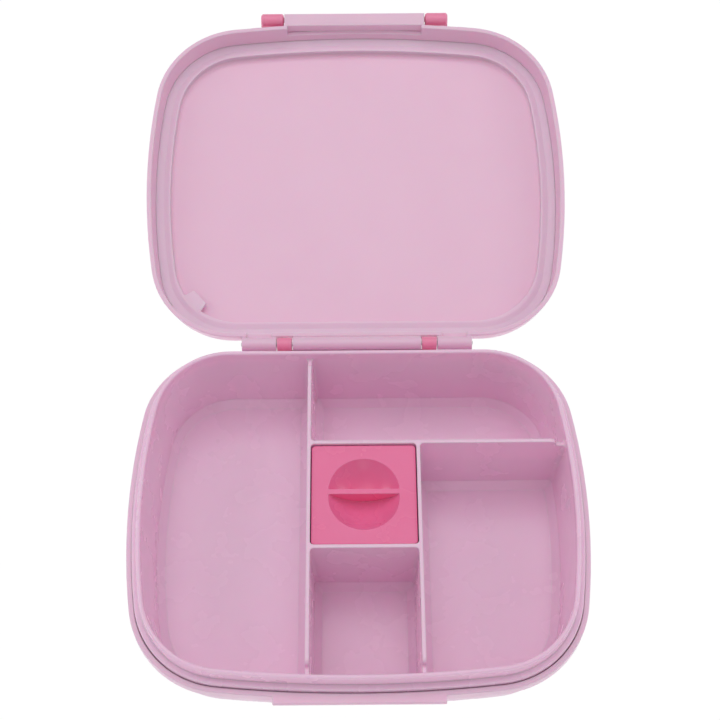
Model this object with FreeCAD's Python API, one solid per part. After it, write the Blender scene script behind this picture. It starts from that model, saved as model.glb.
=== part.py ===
# Bento lunch box with a removable compartment tray, a lidded snack cup, a hinged lid and a latch.
# Units are millimetres.  X runs along the hinge, Y from the latch (front) to the hinge (back), Z is up.
# The origin is the middle of the underside of the outer box.  Pieces are made with the lid closed,
# then the lid and the latch are turned to the open pose in which the model is stored.
import FreeCAD, Part
import math
import os

Vec = FreeCAD.Vector

# ---- plan outline, shared by the box and the lid ----
half_width = 108.0         # centre to the widest point of a side
plan_depth = 177.2         # front to back through the middle
side_bulge_y = 1.1         # where the side is widest
side_radius = 318.0        # large arc of each side
front_radius = 615.0       # large arc of the front
front_corner = 45.5        # front corner arcs
back_corner = 42.5         # back corner arcs, the back itself is straight

# ---- outer box ----
box_height = 38.2          # underside to the joint with the lid
box_wall = 1.4
box_rim_width = 2.4        # top edge of the band
band_height = 6.0          # outer band below the joint
body_top_inset = 3.4       # body below the band, measured in from the outline
body_bottom_inset = 7.7
body_bottom_round = 10.5
groove_depth = 0.8         # shallow groove round the underside
groove_inset = 16.0        # measured in from the outline
groove_width = 3.0
seat_depth = 3.0           # seat for the tray, below the joint
seat_width = 2.0
edge_round = 0.5

# ---- tray ----
tray_gap = 0.4            # round the tray, inside the box rim
ledge_width = 2.75         # between the gap and the upright rim
ledge_height = 2.8         # top of the ledge above the joint
rim_height = 10.4          # top of the upright rim above the joint
rim_wall = 2.1
rim_round = 0.95
tray_wall = 1.3
tray_floor_gap = 1.2       # under the tray, above the floor of the box
tray_side_gap = 0.4        # round the foot of the tray
pocket_corner_top = 1.8
pocket_floor_slope = 3.7   # sloped edge between the walls and the floor
pocket_corner_foot = 2.2   # corners where the walls meet the sloped edge
pocket_corner_floor = 1.0
lip_wall = 1.6             # down-turned lip of the tray that stands on the seat

# ---- dividers ----
divider_wall = 1.7
divider_draft = 1.2        # how much each face of a divider leans over its height
divider_drop = 1.0         # top of a divider below the rim
left_divider_x = -23.1
right_divider_x = 28.6
back_divider_y = 33.0
cup_divider_y = -20.2
notch_drop = 4.0           # a divider steps down here to clear the lip of the seal
notch_clearance = 1.2      # beyond the lip of the seal
notch_crest_round = 2.5    # where a divider turns down into its notch
notch_foot_round = 1.2

# ---- snack cup and its lid ----
cup_lid_gap = 0.45         # between the well and the edge of the cup lid
cup_lid_wall = 2.0
cup_lid_drop = 1.2         # top of the cup lid below the divider top
cup_lid_corner = 1.8
cup_overhang = 1.0         # cup lid beyond the cup body
cup_wall = 1.3
cup_draft = 1.7            # how much each side of the cup leans in
cup_corner_top = 3.0
cup_corner_low = 7.2
cup_floor_round = 5.6
plug_depth = 3.4
plug_wall = 1.2
plug_gap = 0.15
grip_radius = 16.7         # two bowls, one each side of the grip bar
grip_spread = 3.0          # between the centres of the bowls
grip_bar_shift = 1.3       # bar behind the middle
grip_bar_wall = 2.4
grip_depth = 9.0
grip_wall = 1.2

# ---- lid ----
lid_skirt_wall = 2.3
lid_seat_inset = 3.7        # inner face of the skirt where it meets the seat of the seal
lid_top_inset = 2.5
lid_top_round = 8.0
lid_panel = 2.0
lid_well_depth = 1.8       # panel set back from the seat of the seal
lid_well_round = 1.2
seal_thickness = 1.6
seal_clearance = 0.2       # above the tray rim
seal_side_gap = 0.05
seal_lip_gap = 0.2         # foot of the seal's lip inside the tray rim
seal_lip_foot = 3.3        # the lip is a low ridge that rises towards the middle
seal_lip_wall = 0.8
seal_lip_height = 0.7
seal_corner = 34.0         # inner corners of the seal
tab_base = 11.9            # finger tab of the seal: at the lip, at its free edge, and how far it reaches
tab_length = 9.3
tab_reach = 5.2
tab_wall = 1.2
tab_round = 0.4
tab_root = 0.8             # how far the tab runs into the lip
tab_angle = 46.5           # round the back left corner, from straight back

# ---- rear hinge ----
hinge_gap = 0.6            # knuckles behind the outline
hinge_rise = 0.15          # pin axis above the joint
knuckle_diameter = 6.6
leaf_knuckle_inner = 32.4
leaf_knuckle_outer = 39.7
lid_knuckle_outer = 57.2
knuckle_gap = 0.4          # end play between knuckles
pin_diameter = 2.0
pin_fit = 0.05             # radial clearance in a turning knuckle
pin_stick_out = 0.5
pin_bevel = 0.25
gusset_height = 8.0        # web that ties a lid knuckle to the lid
web_root = 1.8             # the web starts this far inside the back of the skirt
leaf_wall = 2.4
leaf_round = 1.2
leaf_bottom_z = 14.0
leaf_arm_drop = 0.8        # arms below the joint, clear of the lid skirt
peg_diameter = 5.0
peg_spacing = 24.0
peg_head = 8.0
peg_head_height = 1.2
peg_head_round = 0.7
peg_fit = 0.05
pad_margin = 3.0           # pad behind the leaf, smaller than the leaf by this much
stop_gap = 0.3             # left between the top of the leaf and the open lid
hinge_web_lift = 0.3       # webs of the lid knuckles above the joint
rear_notch_inner = 42.6    # notches through the back of the skirt, at its edge
rear_notch_outer = 55.1
rear_notch_height = 2.5

# ---- latch ----
latch_knuckle = 6.8        # the bar of the lid is as tall
latch_face_gap = 0.6       # knuckles in front of the outline
latch_turn_gap = 0.4       # flap clear of the bar as it turns
latch_half_width = 50.0
latch_gap = 0.5            # between a knuckle and the end of the bar
latch_wall = 2.4
latch_length = 18.6        # axis to the lower end
latch_bead = 3.2           # rounded lower edge of the latch
latch_bead_in = 0.8        # centre of the bead behind the front face
knuckle_chamfer = 0.8
bar_half_width = 37.5
bar_cover = 2.1            # front face of the bar, in front of the latch axis
bar_in = 1.4               # back face, inside the outline
bar_lift = 0.3             # above the joint
bar_edge_round = 0.6
stub_diameter = 3.0
stub_length = 3.4
stub_fit = 0.06
socket_extra = 0.4         # depth left beyond the end of a stub
catch_half_width = 38.4
catch_out = 2.3
catch_round = 0.8
catch_height = 2.2         # the top of the catch is level with the joint
hook_gap = 0.3
hook_wall = 2.2
hook_reach = 4.0
hook_half_width = 36.0
hook_round = 0.6
hook_root = 0.5            # how far the hook runs into the flap
skirt_notch_half = 35.9    # window in the lid skirt behind the bar
skirt_notch_height = 6.0

# ---- stored pose ----
lid_open_angle = 167.8
latch_fold_angle = 176.0

# ---- values that follow ----
joint_z = box_height
front_y = -plan_depth / 2
back_y = plan_depth / 2
ledge_inset = box_rim_width + tray_gap
rim_inset = ledge_inset + ledge_width
pocket_inset = rim_inset + rim_wall
pocket_low_inset = body_bottom_inset + box_wall + tray_side_gap + tray_wall
tray_floor_z = groove_depth + box_wall + tray_floor_gap + tray_wall
rim_top = joint_z + rim_height
divider_top = rim_top - divider_drop
seal_face = rim_top + seal_clearance
seal_seat = seal_face + seal_thickness
seal_inner = pocket_inset + seal_lip_gap + seal_lip_foot
lip_z = seal_face - seal_lip_height
panel_z = seal_seat + lid_well_depth
lid_top = panel_z + lid_panel
lid_lean = lid_top_inset / (lid_top - joint_z)
mouth_lean = (lid_seat_inset - lid_skirt_wall) / (seal_seat - joint_z)
knuckle_radius = knuckle_diameter / 2
hinge_y = back_y + hinge_gap + knuckle_radius
hinge_z = joint_z + hinge_rise
latch_y = front_y - latch_face_gap - latch_knuckle / 2
latch_z = joint_z + bar_lift + latch_knuckle / 2
bar_front_y = latch_y - bar_cover
latch_top_drop = math.hypot(bar_cover, latch_knuckle / 2) + latch_turn_gap
side_x = half_width - side_radius
front_centre_y = front_y + front_radius


def front_corner_centre():
    """Centre of the front right corner arc, where it touches the side arc and the front arc."""
    side_reach = side_radius - front_corner
    front_reach = front_radius - front_corner
    gap = math.hypot(side_x, front_centre_y - side_bulge_y)
    along = (side_reach ** 2 - front_reach ** 2 + gap ** 2) / (2 * gap)
    across = math.sqrt(side_reach ** 2 - along ** 2)
    unit_x = -side_x / gap
    unit_y = (front_centre_y - side_bulge_y) / gap
    return side_x + along * unit_x + across * unit_y, side_bulge_y + along * unit_y - across * unit_x


def back_corner_centre():
    """Centre of the back right corner arc, which meets the side arc and the straight back."""
    y = back_y - back_corner
    return side_x + math.sqrt((side_radius - back_corner) ** 2 - (y - side_bulge_y) ** 2), y


def outline_wire(inset, z):
    """The plan outline moved in by an inset: tangent arcs with a straight back."""
    fx, fy = front_corner_centre()
    bx, by = back_corner_centre()

    def on_arc(cx, cy, radius, angle):
        return Vec(cx + (radius - inset) * math.cos(angle), cy + (radius - inset) * math.sin(angle), z)

    front_turn = math.atan2(fy - front_centre_y, fx)
    low_turn = math.atan2(fy - side_bulge_y, fx - side_x)
    high_turn = math.atan2(by - side_bulge_y, bx - side_x)
    front_mid = on_arc(0.0, front_centre_y, front_radius, -math.pi / 2)
    p1 = on_arc(fx, fy, front_corner, front_turn)
    m1 = on_arc(fx, fy, front_corner, (front_turn + low_turn) / 2)
    p2 = on_arc(fx, fy, front_corner, low_turn)
    m2 = on_arc(side_x, side_bulge_y, side_radius, (low_turn + high_turn) / 2)
    p3 = on_arc(bx, by, back_corner, high_turn)
    m3 = on_arc(bx, by, back_corner, (high_turn + math.pi / 2) / 2)
    p4 = on_arc(bx, by, back_corner, math.pi / 2)

    def flip(p):
        return Vec(-p.x, p.y, p.z)

    edges = [Part.Arc(flip(p1), front_mid, p1).toShape(),
             Part.Arc(p1, m1, p2).toShape(),
             Part.Arc(p2, m2, p3).toShape(),
             Part.Arc(p3, m3, p4).toShape(),
             Part.makeLine(p4, flip(p4)),
             Part.Arc(flip(p4), flip(m3), flip(p3)).toShape(),
             Part.Arc(flip(p3), flip(m2), flip(p2)).toShape(),
             Part.Arc(flip(p2), flip(m1), flip(p1)).toShape()]
    return Part.Wire(edges)


def plate(inset, z_low, z_high):
    """A flat slab with the plan outline."""
    return Part.Face(outline_wire(inset, z_low)).extrude(Vec(0, 0, z_high - z_low))


def drafted(inset_low, z_low, inset_high, z_high):
    """A slab whose sides lean from one inset to another."""
    wires = [outline_wire(inset_low, z_low), outline_wire(inset_high, z_high)]
    return Part.makeLoft(wires, True, True)


def ring(outer_inset, inner_inset, z_low, z_high):
    return plate(outer_inset, z_low, z_high).cut(plate(inner_inset, z_low - 1, z_high + 1))


def block(x_low, x_high, y_low, y_high, z_low, z_high):
    return Part.makeBox(x_high - x_low, y_high - y_low, z_high - z_low, Vec(x_low, y_low, z_low))


def rod(diameter, x_low, x_high, y, z):
    """A cylinder along X."""
    return Part.makeCylinder(diameter / 2, x_high - x_low, Vec(x_low, y, z), Vec(1, 0, 0))


def edges_at(shape, z, tolerance=0.01):
    """Edges that lie flat at one height."""
    return [e for e in shape.Edges
            if abs(e.BoundBox.ZMin - z) < tolerance and abs(e.BoundBox.ZMax - z) < tolerance]


def join(pieces):
    result = pieces[0].multiFuse(pieces[1:])
    return result.removeSplitter()


# ---- compartments ----
def compartment_boxes():
    """Divider faces round each compartment at the top of the dividers: x low, x high, y low, y high."""
    half = divider_wall / 2
    far = half_width + plan_depth
    return {
        "left": (-far, left_divider_x - half, -far, far),
        "back": (left_divider_x + half, far, back_divider_y + half, far),
        "right": (right_divider_x + half, far, -far, back_divider_y - half),
        "front": (left_divider_x + half, right_divider_x - half, -far, cup_divider_y - half),
        "well": (left_divider_x + half, right_divider_x - half, cup_divider_y + half, back_divider_y - half),
    }


def rounded(area, corner):
    """Outer wire of a flat face with its sharp corners rounded."""
    core = area.makeOffset2D(-corner)
    return core.makeOffset2D(corner).Faces[0].OuterWire


def rectangle(box, z):
    x_low, x_high, y_low, y_high = box
    return Part.makePlane(x_high - x_low, y_high - y_low, Vec(x_low, y_low, z))


def resized(box, amount):
    x_low, x_high, y_low, y_high = box
    return (x_low - amount, x_high + amount, y_low - amount, y_high + amount)


def compartment_section(box, inset, grow, corner, z):
    """Plan of one compartment inside the outline, with its corners rounded."""
    area = Part.Face(outline_wire(inset - grow, z))
    return rounded(area.common(rectangle(resized(box, grow), z)).Faces[0], corner)


def compartment(box, grow):
    """One compartment as a solid: grow 0 is its hollow, grow of a wall is its outside.
    A sloped edge leads from the floor to walls that lean up to the foot of the notches
    and stand upright above it."""
    corner_shift = math.tan(math.pi / 8) * grow
    lean_top = divider_top - notch_drop
    foot_box = resized(box, -divider_draft)
    floor_box = resized(foot_box, -pocket_floor_slope)
    low = compartment_section(floor_box, pocket_low_inset + pocket_floor_slope, corner_shift,
                              pocket_corner_floor + corner_shift, tray_floor_z - grow)
    foot = compartment_section(foot_box, pocket_low_inset, grow, pocket_corner_foot + grow,
                               tray_floor_z + pocket_floor_slope - corner_shift)
    high = compartment_section(box, pocket_inset, grow, pocket_corner_top + grow, lean_top)
    solid = Part.makeLoft([low, foot, high], True, True)
    return solid.fuse(Part.Face(high).extrude(Vec(0, 0, notch_drop)))


# ---- pieces, lid closed ----
def outer_box():
    band_z = joint_z - band_height
    body = drafted(body_bottom_inset, 0.0, body_top_inset, band_z)
    body = body.makeFillet(body_bottom_round, edges_at(body, 0.0))
    band = plate(0.0, band_z, joint_z)
    band = band.makeFillet(edge_round, edges_at(band, band_z) + edges_at(band, joint_z))
    inner_low = body_bottom_inset + box_wall
    floor_z = groove_depth + box_wall
    hollow = drafted(inner_low, floor_z, box_rim_width + seat_width, joint_z - seat_depth)
    hollow = hollow.makeFillet(body_bottom_round - box_wall, edges_at(hollow, floor_z))
    mouth = plate(box_rim_width, joint_z - seat_depth, joint_z + 1)
    groove = ring(groove_inset, groove_inset + groove_width, -1.0, groove_depth)
    shell = join([body, band, catch(), leaf_pad()] + leaf_pegs())
    return shell.cut([hollow, mouth, groove]).removeSplitter()


def catch():
    """Bar across the front of the band that the latch hooks under, level with the joint."""
    bar = block(-catch_half_width, catch_half_width, front_y - catch_out, front_y + box_rim_width,
                joint_z - catch_height, joint_z)
    front_edges = [e for e in bar.Edges if e.BoundBox.YMax < front_y - catch_out + 0.01]
    return bar.makeFillet(catch_round, front_edges)


def leaf_pad():
    """Raised pad on the back wall of the box, that the hinge leaf lies on."""
    wide = leaf_knuckle_outer - pad_margin
    return block(-wide, wide, back_y - body_bottom_inset - box_wall / 2, back_y,
                 leaf_bottom_z + pad_margin, joint_z - band_height)


def peg_places():
    height = (leaf_bottom_z + pad_margin + joint_z - band_height) / 2
    return [(index * peg_spacing, height) for index in (-1, 0, 1)]


def leaf_pegs():
    """Pegs with flattened heads that hold the hinge leaf."""
    pegs = []
    for x, z in peg_places():
        shank = Part.makeCylinder(peg_diameter / 2, leaf_wall + 1, Vec(x, back_y - 1, z), Vec(0, 1, 0))
        head = Part.makeCylinder(peg_head / 2, peg_head_height, Vec(x, back_y + leaf_wall, z), Vec(0, 1, 0))
        outside = [e for e in head.Edges if e.BoundBox.YMin > back_y + leaf_wall + peg_head_height - 0.01]
        pegs += [shank, head.makeFillet(peg_head_round, outside)]
    return pegs


def food_tray():
    boxes = compartment_boxes().values()
    flange_z = joint_z + ledge_height
    flange = plate(ledge_inset, flange_z - tray_wall, flange_z)
    flange = flange.makeFillet(edge_round, edges_at(flange, flange_z))
    pieces = [compartment(box, tray_wall) for box in boxes]
    pieces.append(plate(rim_inset, flange_z - tray_wall, divider_top))
    pieces.append(flange)
    pieces.append(ring(ledge_inset, ledge_inset + lip_wall, joint_z - seat_depth, flange_z - tray_wall))
    rim = ring(rim_inset, pocket_inset, divider_top - 1, rim_top)
    pieces.append(rim.makeFillet(rim_round, edges_at(rim, rim_top)))
    solid = join(pieces)
    hollows = [compartment(box, 0.0) for box in boxes]
    tray = solid.cut(hollows + [divider_notches()]).removeSplitter()
    tray = tray.makeFillet(notch_crest_round, edges_across(tray, divider_top))
    return tray.makeFillet(notch_foot_round, edges_across(tray, divider_top - notch_drop))


def edges_across(tray, z):
    """Short edges at one height that run from one face of a divider to the other."""
    return [e for e in edges_at(tray, z) if e.Length < divider_wall * 1.3]


def divider_notches():
    """Ring that lowers each divider beside the rim."""
    low = divider_top - notch_drop
    cutter = plate(pocket_inset, low, divider_top)
    core = plate(seal_inner + notch_clearance, low - 1, divider_top + 1)
    return cutter.cut(core)


# ---- snack cup and its lid ----
def cup_section(amount, corner, z):
    return rounded(rectangle(resized(compartment_boxes()["well"], amount), z), corner)


def cup_solid(extra, floor_z, top_z):
    """The cup's outside for extra 0, or its hollow for extra of a wall."""
    gap = -(cup_lid_gap + cup_overhang + extra)
    high = cup_section(gap, cup_corner_top - extra, top_z)
    low = cup_section(gap - cup_draft, cup_corner_low - extra, floor_z)
    solid = Part.makeLoft([low, high], True, True)
    return solid.makeFillet(cup_floor_round - extra, edges_at(solid, floor_z))


def snack_cup():
    top_z = divider_top - cup_lid_drop - cup_lid_wall
    outside = cup_solid(0.0, tray_floor_z, top_z)
    inside = cup_solid(cup_wall, tray_floor_z + cup_wall, top_z)
    return outside.cut(inside)


def cup_lid():
    """Flat lid with a plug, and a bowl on each side of a grip bar."""
    top_z = divider_top - cup_lid_drop
    low_z = top_z - cup_lid_wall
    x_low, x_high, y_low, y_high = compartment_boxes()["well"]
    x_mid = (x_low + x_high) / 2
    y_mid = (y_low + y_high) / 2
    panel = Part.Face(cup_section(-cup_lid_gap, cup_lid_corner, low_z)).extrude(Vec(0, 0, cup_lid_wall))
    panel = panel.makeFillet(edge_round, edges_at(panel, top_z))
    cup_lean = cup_draft * plug_depth / (low_z - tray_floor_z)
    plug_in = -(cup_lid_gap + cup_overhang + cup_wall + plug_gap + cup_lean)
    plug_corner = cup_corner_top - cup_wall
    plug = Part.Face(cup_section(plug_in, plug_corner, low_z - plug_depth)).extrude(Vec(0, 0, plug_depth))
    core = cup_section(plug_in - plug_wall, plug_corner - plug_wall / 2, low_z - plug_depth)
    plug = plug.cut(Part.Face(core).extrude(Vec(0, 0, plug_depth)))
    ball = (grip_radius ** 2 + grip_depth ** 2) / (2 * grip_depth)
    reach = 2 * ball
    bar_y = y_mid + grip_bar_shift
    shells, hollows = [], []
    for side in (-1, 1):
        centre = Vec(x_mid, y_mid + side * grip_spread / 2, top_z - grip_depth + ball)
        low, high = sorted((bar_y, bar_y + side * reach))
        half = block(x_mid - reach, x_mid + reach, low, high, top_z - reach, top_z)
        shells.append(Part.makeSphere(ball + grip_wall, centre).common(half))
        half.translate(Vec(0, side * grip_bar_wall / 2, 1))
        hollows.append(Part.makeSphere(ball, centre).common(half))
    return join([panel, plug] + shells).cut(hollows).removeSplitter()


# ---- lid ----
def seal_core(z_low, z_high):
    """Everything inside the seal: the plan outline with rounder corners."""
    area = Part.Face(outline_wire(seal_inner, z_low))
    return Part.Face(rounded(area, seal_corner)).extrude(Vec(0, 0, z_high - z_low))


def lid_closed():
    skirt = drafted(0.0, joint_z, lid_top_inset, lid_top)
    skirt = skirt.makeFillet(lid_top_round, edges_at(skirt, lid_top))
    skirt = skirt.makeFillet(edge_round, edges_at(skirt, joint_z))
    mouth = drafted(lid_skirt_wall, joint_z, lid_seat_inset, seal_seat)
    opening = plate(lid_skirt_wall, joint_z - 1, joint_z)
    well = seal_core(seal_seat, panel_z)
    well = well.makeFillet(lid_well_round, edges_at(well, panel_z))
    lid = join([skirt, latch_bar()] + lid_knuckles())
    sockets = [rod(stub_diameter + 2 * stub_fit, low, high, latch_y, latch_z) for low, high in socket_ends()]
    bore = rod(pin_diameter + 2 * pin_fit, -lid_knuckle_outer - 1, lid_knuckle_outer + 1, hinge_y, hinge_z)
    window = block(-skirt_notch_half, skirt_notch_half, front_y + bar_in, front_y + lid_skirt_wall + 2,
                   joint_z - 1, joint_z + skirt_notch_height)
    cuts = [mouth, opening, well, bore, window] + sockets
    for low, high in ((-rear_notch_outer, -rear_notch_inner), (rear_notch_inner, rear_notch_outer)):
        cuts.append(block(low, high, back_y - lid_skirt_wall - 1, back_y + hinge_gap,
                          joint_z - 1, joint_z + rear_notch_height))
    return lid.cut(cuts).removeSplitter()


def latch_bar():
    bar = block(-bar_half_width, bar_half_width, bar_front_y, front_y + bar_in,
                joint_z + bar_lift, joint_z + bar_lift + latch_knuckle)
    front_edges = [e for e in bar.Edges
                   if e.BoundBox.YMax < bar_front_y + 0.01 and e.BoundBox.XLength > 1]
    return bar.makeFillet(bar_edge_round, front_edges)


def socket_ends():
    depth = stub_length - latch_gap + socket_extra
    return [(-bar_half_width - 1, -bar_half_width + depth), (bar_half_width - depth, bar_half_width + 1)]


def web_points():
    """Outer face of a lid knuckle's web, closed: from the barrel up to the back of the lid."""
    low = (hinge_y + knuckle_radius * 0.8, hinge_z + knuckle_radius * 0.6)
    high = (back_y - lid_lean * gusset_height, joint_z + gusset_height)
    return low, high


def side_profile(points, x_low, x_high):
    """A solid with a polygon of (y, z) points as its section, from one X to another."""
    corners = [Vec(x_low, y, z) for y, z in points]
    face = Part.Face(Part.makePolygon(corners + corners[:1]))
    return face.extrude(Vec(x_high - x_low, 0, 0))


def lid_knuckles():
    low, high = web_points()
    start = joint_z + hinge_web_lift
    root = back_y - web_root
    points = [(root, start), (hinge_y, start), low, high, (root, high[1])]
    inner = leaf_knuckle_inner - knuckle_gap
    outer = leaf_knuckle_outer + knuckle_gap
    pieces = []
    for x_low, x_high in ((-inner, inner), (-lid_knuckle_outer, -outer), (outer, lid_knuckle_outer)):
        pieces.append(rod(knuckle_diameter, x_low, x_high, hinge_y, hinge_z))
        pieces.append(side_profile(points, x_low, x_high))
    return pieces


def lid_seal_closed():
    """Flat seal in the lid with a low ridge round its inner edge and a finger tab."""
    low_outer = lid_seat_inset - mouth_lean * seal_thickness + seal_side_gap
    band = drafted(low_outer, seal_face, lid_seat_inset + seal_side_gap, seal_seat)
    ridge = drafted(seal_inner - seal_lip_wall, lip_z, seal_inner - seal_lip_foot, seal_face)
    solid = join([band, ridge]).cut(seal_core(lip_z - 1, seal_seat + 1))
    return join([solid, seal_tab()])


def seal_tab():
    """Finger tab across the back left corner of the seal."""
    bx, by = back_corner_centre()
    edge = seal_corner - (seal_corner - back_corner + seal_inner) * math.sqrt(2)
    base = tab_base / 2
    tip = tab_length / 2
    points = [(base, edge + tab_root), (base, edge), (tip, edge - tab_reach)]
    points += [(-x, y) for x, y in reversed(points)]
    corners = [Vec(x, y, lip_z) for x, y in points]
    tab = Part.Face(Part.makePolygon(corners + corners[:1])).extrude(Vec(0, 0, tab_wall))
    uprights = [e for e in tab.Edges if e.BoundBox.ZLength > tab_wall / 2 and e.BoundBox.YMax < edge - 1]
    tab = tab.makeFillet(tab_round, uprights)
    tab.rotate(Vec(0, 0, 0), Vec(0, 0, 1), tab_angle)
    tab.translate(Vec(-bx, by, 0))
    return tab


# ---- hinge leaf and pin ----
def opened(y, z):
    """Where a point of the closed lid lies once the lid is open."""
    turn = math.radians(lid_open_angle)
    dy, dz = y - hinge_y, z - hinge_z
    return (hinge_y + dy * math.cos(turn) + dz * math.sin(turn),
            hinge_z - dy * math.sin(turn) + dz * math.cos(turn))


def hinge_leaf():
    (y1, z1), (y2, z2) = [opened(*point) for point in web_points()]
    outer_y = back_y + leaf_wall
    top_z = z1 + (outer_y - y1) * (z2 - z1) / (y2 - y1) - stop_gap
    flap = block(-leaf_knuckle_outer, leaf_knuckle_outer, back_y, outer_y, leaf_bottom_z, top_z)
    rims = [e for e in flap.Edges if e.BoundBox.ZMax < leaf_bottom_z + 0.01 and e.BoundBox.YMin > outer_y - 0.01]
    flap = flap.makeFillet(leaf_round, rims)
    arm = [(back_y, top_z - leaf_wall), (back_y, joint_z - leaf_arm_drop), (hinge_y, hinge_z),
           (hinge_y + knuckle_radius * 0.6, hinge_z - knuckle_radius * 0.8), (outer_y, top_z - leaf_wall)]
    pieces = [flap]
    for x_low, x_high in ((-leaf_knuckle_outer, -leaf_knuckle_inner), (leaf_knuckle_inner, leaf_knuckle_outer)):
        pieces.append(rod(knuckle_diameter, x_low, x_high, hinge_y, hinge_z))
        pieces.append(side_profile(arm, x_low, x_high))
    holes = [Part.makeCylinder(peg_diameter / 2 + peg_fit, leaf_wall + 2, Vec(x, back_y - 1, z), Vec(0, 1, 0))
             for x, z in peg_places()]
    bore = rod(pin_diameter, -leaf_knuckle_outer - 1, leaf_knuckle_outer + 1, hinge_y, hinge_z)
    return join(pieces).cut(holes + [bore]).removeSplitter()


def hinge_pin():
    reach = lid_knuckle_outer + pin_stick_out
    pin = rod(pin_diameter, -reach, reach, hinge_y, hinge_z)
    return pin.makeChamfer(pin_bevel, [e for e in pin.Edges if e.BoundBox.XLength < 0.01])


# ---- latch, hooked under the catch ----
def latch_closed():
    face_y = latch_y - latch_knuckle / 2
    inner_y = face_y + latch_wall
    low_z = latch_z - latch_length
    inner_x = bar_half_width + latch_gap
    flap = block(-latch_half_width, latch_half_width, face_y, inner_y,
                 low_z + latch_bead / 2, latch_z - latch_top_drop)
    bead = rod(latch_bead, -latch_half_width, latch_half_width, face_y + latch_bead_in,
               low_z + latch_bead / 2)
    hook_top = joint_z - catch_height - hook_gap
    hook = block(-hook_half_width, hook_half_width, inner_y - hook_root, inner_y + hook_reach,
                 hook_top - hook_wall, hook_top)
    tip = [e for e in hook.Edges if e.BoundBox.YMin > inner_y + hook_reach - 0.01 and e.BoundBox.XLength > 1]
    pieces = [flap, bead, hook.makeFillet(hook_round, tip)]
    for side in (-1, 1):
        near, far = sorted((side * inner_x, side * latch_half_width))
        knuckle = rod(latch_knuckle, near, far, latch_y, latch_z)
        ends = [e for e in knuckle.Edges if e.BoundBox.XLength < 0.01]
        pieces.append(knuckle.makeChamfer(knuckle_chamfer, ends))
        pieces.append(block(near, far, face_y, inner_y, latch_z - latch_top_drop - 1, latch_z))
        tip_x = side * (inner_x - stub_length)
        low, high = sorted((tip_x, side * (inner_x + 1)))
        pieces.append(rod(stub_diameter, low, high, latch_y, latch_z))
    return join(pieces)


# ---- stored pose and export ----
def open_lid(shape):
    """Turn a piece of the closed lid back about the hinge pin."""
    turned = shape.copy()
    turned.rotate(Vec(0, hinge_y, hinge_z), Vec(-1, 0, 0), lid_open_angle)
    return turned


def fold_latch(shape):
    """Swing the latch off the catch and up the front of the lid."""
    turned = shape.copy()
    turned.rotate(Vec(0, latch_y, latch_z), Vec(-1, 0, 0), latch_fold_angle)
    return turned


pieces = {
    "outer_box": outer_box(),
    "food_tray": food_tray(),
    "snack_cup": snack_cup(),
    "cup_lid": cup_lid(),
    "lid_shell": open_lid(lid_closed()),
    "lid_seal": open_lid(lid_seal_closed()),
    "latch": open_lid(fold_latch(latch_closed())),
    "hinge_leaf": hinge_leaf(),
    "hinge_pin": hinge_pin(),
}

os.makedirs("parts", exist_ok=True)
for name, shape in pieces.items():
    shape.exportStep("parts/" + name + ".step")
    print(name, shape.isValid(), len(shape.Solids), round(shape.Volume))
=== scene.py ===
import bpy
import math
from mathutils import Matrix, Vector

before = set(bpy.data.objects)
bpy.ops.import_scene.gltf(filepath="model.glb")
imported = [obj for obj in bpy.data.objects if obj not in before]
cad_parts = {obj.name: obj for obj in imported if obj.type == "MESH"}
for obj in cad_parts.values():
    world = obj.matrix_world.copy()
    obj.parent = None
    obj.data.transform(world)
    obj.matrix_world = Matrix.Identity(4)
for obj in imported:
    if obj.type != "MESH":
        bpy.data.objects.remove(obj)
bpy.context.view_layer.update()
print("frame loaded")

scene = bpy.context.scene
scene.view_settings.view_transform = "Standard"

# finishes: two close shades that drift into each other, a painted highlight colour for thin edges, roughness
# and its spread, grain size and depth, the share of light that enters (soft) and the radius that an edge
# looks to have; grain, grainDepth and edge are in metres
finishes = {
    # one lilac plastic in two copies: the shell's is painted darker as painted shade, the tray's painted
    # lighter as painted light in its compartments
    "lilacShellPaintedShade": dict(
        base=(0.880, 0.605, 0.760), tint=(0.872, 0.592, 0.750), paintedEdgeHighlight=(0.960, 0.790, 0.890),
        rough=0.34, roughSpread=0.05, grain=0.00022, grainDepth=0.000010, soft=0.40, edge=0.0008),
    "lilacTrayPaintedLight": dict(
        base=(0.970, 0.640, 0.820), tint=(0.964, 0.628, 0.810), paintedEdgeHighlight=(0.970, 0.820, 0.910),
        rough=0.26, roughSpread=0.05, grain=0.00030, grainDepth=0.000006, soft=0.40, edge=0.0009),
    "pinkLid": dict(
        base=(0.960, 0.190, 0.405), tint=(0.952, 0.178, 0.388), paintedEdgeHighlight=(0.970, 0.380, 0.560),
        rough=0.26, roughSpread=0.05, grain=0.00020, grainDepth=0.000008, soft=0.30, edge=0.0005),
    # the lid's pink painted lighter on the latch and hinge, as a painted highlight on their rounded barrels
    "pinkHingePaintedHighlight": dict(
        base=(0.965, 0.300, 0.480), tint=(0.958, 0.285, 0.465), paintedEdgeHighlight=(0.975, 0.480, 0.640),
        rough=0.30, roughSpread=0.05, grain=0.00020, grainDepth=0.000008, soft=0.30, edge=0.0005),
    "softSeal": dict(
        base=(0.910, 0.650, 0.800), tint=(0.902, 0.634, 0.788), paintedEdgeHighlight=(0.970, 0.820, 0.910),
        rough=0.44, roughSpread=0.07, grain=0.00018, grainDepth=0.000008, soft=0.45, edge=0.0006),
}

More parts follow.
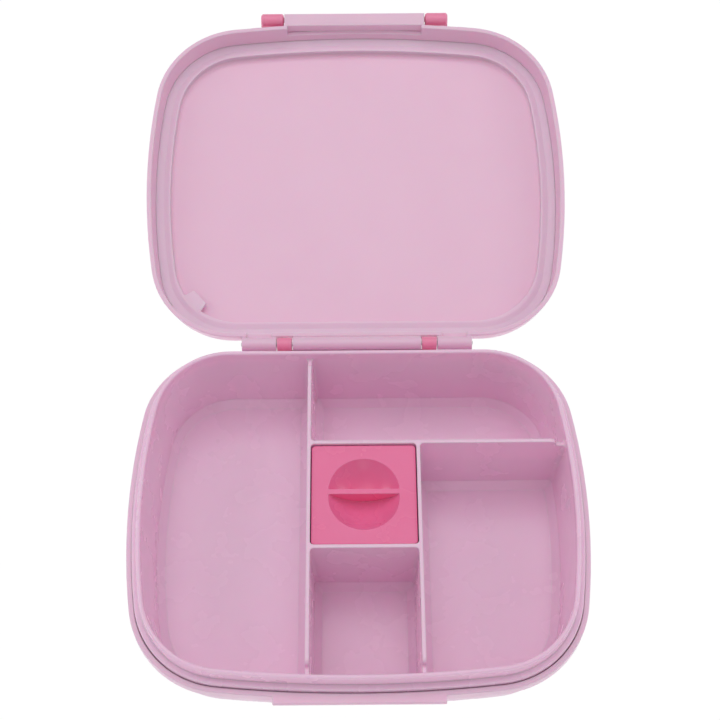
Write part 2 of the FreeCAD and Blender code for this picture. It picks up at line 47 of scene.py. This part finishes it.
# what all the plastics share: noise scales are per metre, light travels glowDepth metres into the plastic,
# and the painted edge highlight is fullest where the rounded normal leans from the face by the full-point
# cosine or less
plastic = dict(cloudScale=14.0, cloudDetail=3.0, cloudLow=0.35, cloudHigh=0.65,
               smearScale=55.0, smearDetail=3.0, smearLow=0.3, smearHigh=0.7,
               grainDetail=2.0, grainStrength=0.35,
               edgeSamples=6, highlightStart=0.99, highlightFull=0.80, highlightMost=0.85,
               ior=1.49, specular=0.5, glowColour=(1.0, 0.45, 0.70), glowDepth=0.003)


def newMaterial(name):
    mat = bpy.data.materials.new(name)
    mat.use_nodes = True
    mat.node_tree.nodes.clear()
    return mat, mat.node_tree


def addNode(tree, kind, links=None, **values):
    # one node: links go from earlier sockets into its inputs, and a value is a setting of the node
    # or the default of the input with that name
    node = tree.nodes.new(kind)
    for key, value in values.items():
        if hasattr(node, key):
            setattr(node, key, value)
        else:
            node.inputs[key.replace("_", " ")].default_value = value
    for key, socket in (links or {}).items():
        tree.links.new(socket, node.inputs[key])
    return node


def blendColours(tree, amount, first, second):
    # the colour drifts from first to second as amount goes from 0 to 1; first is a socket or a colour
    blend = addNode(tree, "ShaderNodeMix", {"Factor": amount}, data_type="RGBA")
    if isinstance(first, bpy.types.NodeSocket):
        tree.links.new(first, blend.inputs[6])
    else:
        blend.inputs[6].default_value = (*first, 1)
    blend.inputs[7].default_value = (*second, 1)
    return blend.outputs[2]


def mouldedPlastic(name, finish):
    # satin injection moulding: faint flow clouds, smears of gloss, fine grain, softer edges and a painted
    # highlight on them
    mat, tree = newMaterial(name)
    place = addNode(tree, "ShaderNodeTexCoord").outputs["Object"]
    clouds = addNode(tree, "ShaderNodeTexNoise", {"Vector": place},
                     Scale=plastic["cloudScale"], Detail=plastic["cloudDetail"])
    cloudSpan = addNode(tree, "ShaderNodeMapRange", {"Value": clouds.outputs["Fac"]},
                        From_Min=plastic["cloudLow"], From_Max=plastic["cloudHigh"])
    smear = addNode(tree, "ShaderNodeTexNoise", {"Vector": place},
                    Scale=plastic["smearScale"], Detail=plastic["smearDetail"])
    gloss = addNode(tree, "ShaderNodeMapRange", {"Value": smear.outputs["Fac"]},
                    From_Min=plastic["smearLow"], From_Max=plastic["smearHigh"],
                    To_Min=finish["rough"] - finish["roughSpread"],
                    To_Max=finish["rough"] + finish["roughSpread"])
    grain = addNode(tree, "ShaderNodeTexNoise", {"Vector": place},
                    Scale=1 / finish["grain"], Detail=plastic["grainDetail"])
    softEdge = addNode(tree, "ShaderNodeBevel", samples=plastic["edgeSamples"], Radius=finish["edge"])
    flatFace = addNode(tree, "ShaderNodeNewGeometry")
    turned = addNode(tree, "ShaderNodeVectorMath", operation="DOT_PRODUCT")
    tree.links.new(softEdge.outputs["Normal"], turned.inputs[0])
    tree.links.new(flatFace.outputs["Normal"], turned.inputs[1])
    edgeHighlightMask = addNode(tree, "ShaderNodeMapRange", {"Value": turned.outputs["Value"]},
                       From_Min=plastic["highlightStart"], From_Max=plastic["highlightFull"],
                       To_Max=plastic["highlightMost"])
    colour = blendColours(tree, cloudSpan.outputs["Result"], finish["base"], finish["tint"])
    # painted highlight: thin edges take a lighter colour where the rounded normal leans from the face
    highlightedColour = blendColours(tree, edgeHighlightMask.outputs["Result"], colour, finish["paintedEdgeHighlight"])
    bump = addNode(tree, "ShaderNodeBump", {
        "Height": grain.outputs["Fac"], "Normal": softEdge.outputs["Normal"]},
        Strength=plastic["grainStrength"], Distance=finish["grainDepth"])
    surface = addNode(tree, "ShaderNodeBsdfPrincipled", {
        "Base Color": highlightedColour, "Roughness": gloss.outputs["Result"], "Normal": bump.outputs["Normal"]},
        IOR=plastic["ior"], Specular_IOR_Level=plastic["specular"], Subsurface_Weight=finish["soft"],
        Subsurface_Radius=plastic["glowColour"], Subsurface_Scale=plastic["glowDepth"])
    addNode(tree, "ShaderNodeOutputMaterial", {"Surface": surface.outputs["BSDF"]})
    return mat


# steel wire: noise drawn out along X, the wire's length, into narrow lines
steel = dict(colour=(0.62, 0.62, 0.63, 1), lineScale=(60, 2400, 2400), lineDetail=3.0,
             roughLow=0.22, roughHigh=0.42, lineStrength=0.2, lineDepth=0.00001)


def drawnSteel(name):
    mat, tree = newMaterial(name)
    place = addNode(tree, "ShaderNodeTexCoord").outputs["Object"]
    along = addNode(tree, "ShaderNodeMapping", {"Vector": place}, Scale=steel["lineScale"])
    lines = addNode(tree, "ShaderNodeTexNoise", {"Vector": along.outputs["Vector"]},
                    Scale=1.0, Detail=steel["lineDetail"])
    gloss = addNode(tree, "ShaderNodeMapRange", {"Value": lines.outputs["Fac"]},
                    To_Min=steel["roughLow"], To_Max=steel["roughHigh"])
    bump = addNode(tree, "ShaderNodeBump", {"Height": lines.outputs["Fac"]},
                   Strength=steel["lineStrength"], Distance=steel["lineDepth"])
    surface = addNode(tree, "ShaderNodeBsdfPrincipled", {
        "Roughness": gloss.outputs["Result"], "Normal": bump.outputs["Normal"]},
        Metallic=1.0, Base_Color=steel["colour"])
    addNode(tree, "ShaderNodeOutputMaterial", {"Surface": surface.outputs["BSDF"]})
    return mat


materials = {name: mouldedPlastic(name, finish) for name, finish in finishes.items()}
materials["pinSteel"] = drawnSteel("pinSteel")

# the finish of each CAD node
nodeFinish = {
    "outer_box": "lilacShellPaintedShade", "lid_shell": "lilacShellPaintedShade", "food_tray": "lilacTrayPaintedLight",
    "snack_cup": "pinkLid", "cup_lid": "pinkLid", "latch": "pinkHingePaintedHighlight", "hinge_leaf": "pinkHingePaintedHighlight",
    "lid_seal": "softSeal", "hinge_pin": "pinSteel",
}
for node, finish in nodeFinish.items():
    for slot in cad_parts[node].material_slots:
        slot.link = "OBJECT"  # so the mesh stays as it was packed
        slot.material = materials[finish]
print("finishes given to", len(nodeFinish), "nodes")

# sizes and places in metres; floorGlow is how much of the floor's white is its own light, floorDrop keeps
# it just under the box, and the soft boxes aim at about the middle of the open box and its lid
studio = dict(floorSize=6.0, floorDrop=0.0002, floorGlow=0.97, floorWhite=1.02, paper=(0.95, 0.95, 0.95, 1),
              sky=(1, 1, 1, 1), skyLight=0.40, aim=(0, 0.08, 0.03))

# square soft boxes, sizes and places in metres and power in watts
softBoxes = {
    "topBox": dict(place=(-0.10, 0.35, 1.60), size=1.40, power=7.5),
    "leftBox": dict(place=(-1.30, 0.35, 0.85), size=0.60, power=3.0),
    "rightBox": dict(place=(1.30, 0.35, 0.85), size=0.60, power=3.0),
    "frontBox": dict(place=(0.0, -1.50, 0.55), size=0.80, power=1.2),
}


def makeFloor():
    mesh = bpy.data.meshes.new("floor")
    half = studio["floorSize"] / 2
    corners = [(-half, -half, 0), (half, -half, 0), (half, half, 0), (-half, half, 0)]
    mesh.from_pydata(corners, [], [(0, 1, 2, 3)])
    floor = bpy.data.objects.new("floor", mesh)
    floor.location.z = -studio["floorDrop"]
    scene.collection.objects.link(floor)
    mat, tree = newMaterial("paleFloor")
    glow = addNode(tree, "ShaderNodeEmission", Strength=studio["floorWhite"])
    paper = addNode(tree, "ShaderNodeBsdfDiffuse", Color=studio["paper"])
    both = addNode(tree, "ShaderNodeMixShader", Fac=studio["floorGlow"])
    tree.links.new(paper.outputs[0], both.inputs[1])
    tree.links.new(glow.outputs[0], both.inputs[2])
    addNode(tree, "ShaderNodeOutputMaterial", {"Surface": both.outputs[0]})
    floor.data.materials.append(mat)


def softLight(name, box):
    data = bpy.data.lights.new(name, "AREA")
    data.shape = "SQUARE"
    data.size = box["size"]
    data.energy = box["power"]
    light = bpy.data.objects.new(name, data)
    light.location = box["place"]
    light.rotation_euler = (Vector(studio["aim"]) - Vector(box["place"])).to_track_quat("-Z", "Y").to_euler()
    scene.collection.objects.link(light)


makeFloor()
for name, box in softBoxes.items():
    softLight(name, box)
world = bpy.data.worlds.new("paleRoom")
world.use_nodes = True
sky = world.node_tree.nodes["Background"]
sky.inputs["Color"].default_value = studio["sky"]
sky.inputs["Strength"].default_value = studio["skyLight"]
scene.world = world
print("studio lit by", len(softBoxes), "soft boxes and a pale sky")

# camera: lens and sensor in millimetres, place and clipStart in metres, turns in degrees
view = dict(lens=75.71, sensor=36, clipStart=0.05, place=(0.00004, -0.29333, 0.68752),
            tilt=30.11, yaw=-0.11, roll=-0.455)

cameraData = bpy.data.cameras.new("camera")
cameraData.lens = view["lens"]
cameraData.sensor_width = view["sensor"]
cameraData.clip_start = view["clipStart"]
camera = bpy.data.objects.new("camera", cameraData)
camera.location = view["place"]
turn = Matrix.Rotation(math.radians(view["tilt"]), 3, "X")
turn = turn @ Matrix.Rotation(math.radians(view["yaw"]), 3, "Y")
turn = turn @ Matrix.Rotation(math.radians(view["roll"]), 3, "Z")
camera.rotation_euler = turn.to_euler()
scene.collection.objects.link(camera)
scene.camera = camera
print("camera set")
